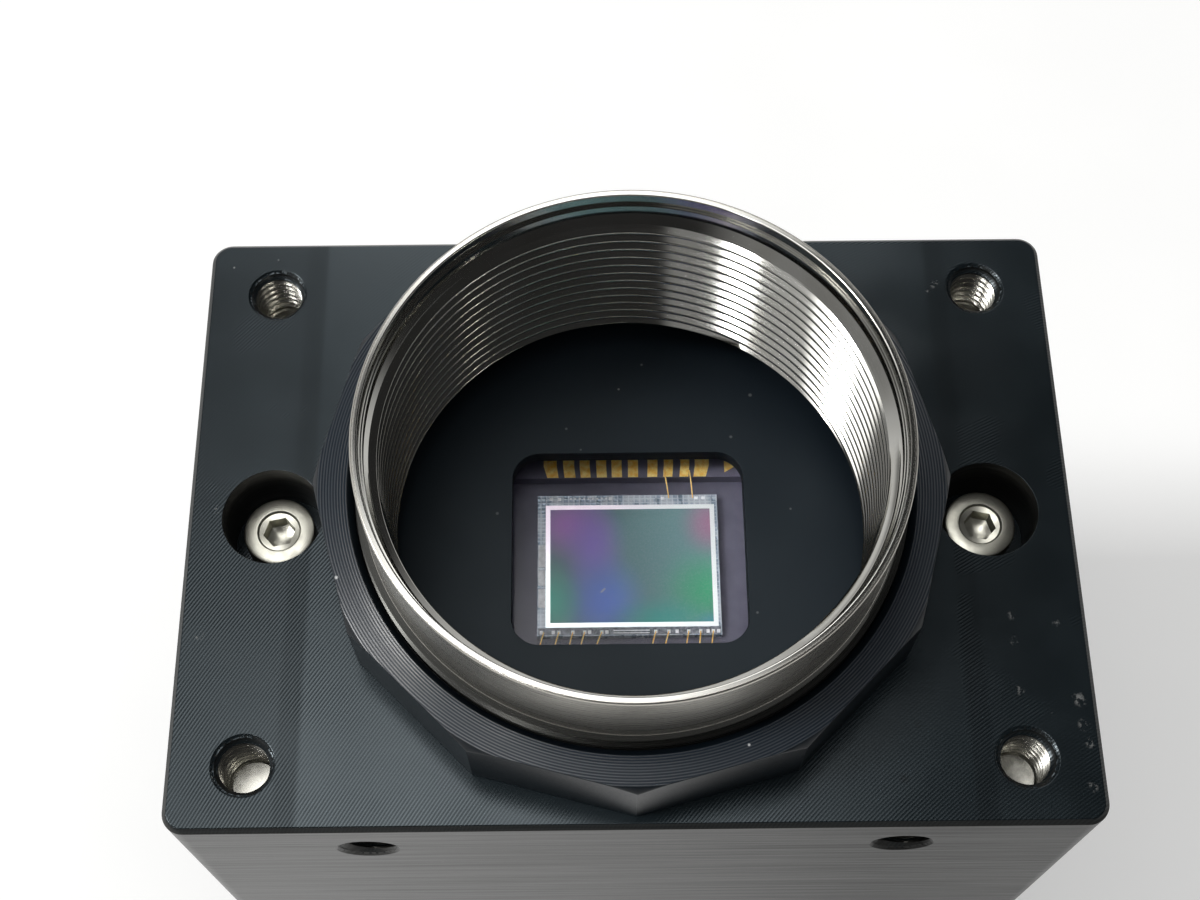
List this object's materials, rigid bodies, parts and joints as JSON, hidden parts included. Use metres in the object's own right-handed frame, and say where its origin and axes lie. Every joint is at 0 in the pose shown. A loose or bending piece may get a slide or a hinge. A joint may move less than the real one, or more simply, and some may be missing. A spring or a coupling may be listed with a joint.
{
  "type": "machine vision camera",
  "caption": "Compact rectangular machine vision camera with a threaded lens ring, a lock ring, a windowed image sensor, tapped mounting holes and rear sockets.",
  "frame": {"origin": "middle of the flat rear face, on the optical axis", "axes": "+Z along the optical axis towards the lens, +X along the wide side, +Y along the narrow side"},
  "size_m": [0.046, 0.033, 0.059],
  "materials": {
    "black_anodised_housing": "black anodised, fine milling marks",
    "black_anodised_lock_ring": "black anodised, turned face",
    "black_anodised_inner": "black anodised, matt",
    "bright_ring_metal": "turned and polished",
    "stainless_screws": "satin stainless",
    "black_rubber": "matt",
    "grey_ceramic": "fired ceramic, purple grey",
    "silicon_die": "polished silicon with a colour sheen",
    "clear_glass": "polished",
    "gold_plating": "gold plated",
    "circuit_board": "solder mask",
    "black_chip": "moulded",
    "black_plastic": "moulded",
    "white_plastic": "moulded",
    "clear_plastic": "clear moulded",
    "shield_metal": "tinned sheet",
    "satin_connector_metal": "satin nickel",
    "brass_spacers": "turned"
  },
  "bodies": {
    "housing": {"front_housing": "black_anodised_housing", "rear_cover": "black_anodised_housing", "body_gasket": "black_rubber", "dust_gasket": "black_rubber", "clamp_screws": "stainless_screws", "cover_screws": "stainless_screws", "stack_screws": "stainless_screws", "sensor_package": "grey_ceramic", "sensor_die": "silicon_die", "cover_glass": "clear_glass", "sensor_leads": "gold_plating", "sensor_carrier": "black_anodised_inner", "sensor_board": "circuit_board", "processor_board": "circuit_board", "interface_board": "circuit_board", "processor_chip": "black_chip", "memory_chips": "black_chip", "network_chip": "black_chip", "network_transformer": "black_chip", "power_coils": "black_chip", "oscillator": "shield_metal", "front_board_connector": "black_plastic", "rear_board_connector": "black_plastic", "front_spacers": "brass_spacers", "rear_spacers": "brass_spacers", "jack_shield": "shield_metal", "jack_insert": "black_plastic", "jack_contacts": "gold_plating", "port_shell": "satin_connector_metal", "port_insert": "black_plastic", "port_pins": "gold_plating", "light_pipe": "clear_plastic", "light_chip": "white_plastic"},
    "mount_ring": {"mount_ring": "bright_ring_metal"},
    "lock_ring": {"lock_ring": "black_anodised_lock_ring"}
  },
  "joints": [
    {"name": "mount_ring_turn", "type": "hinge", "parent": "housing", "child": "mount_ring", "pos_m": [0, 0, 0.049], "axis": [0, 0, 1], "range_deg": [-180, 180]},
    {"name": "lock_ring_turn", "type": "hinge", "parent": "housing", "child": "lock_ring", "pos_m": [0, 0, 0.0513], "axis": [0, 0, 1], "range_deg": [0, 180]}
  ]
}
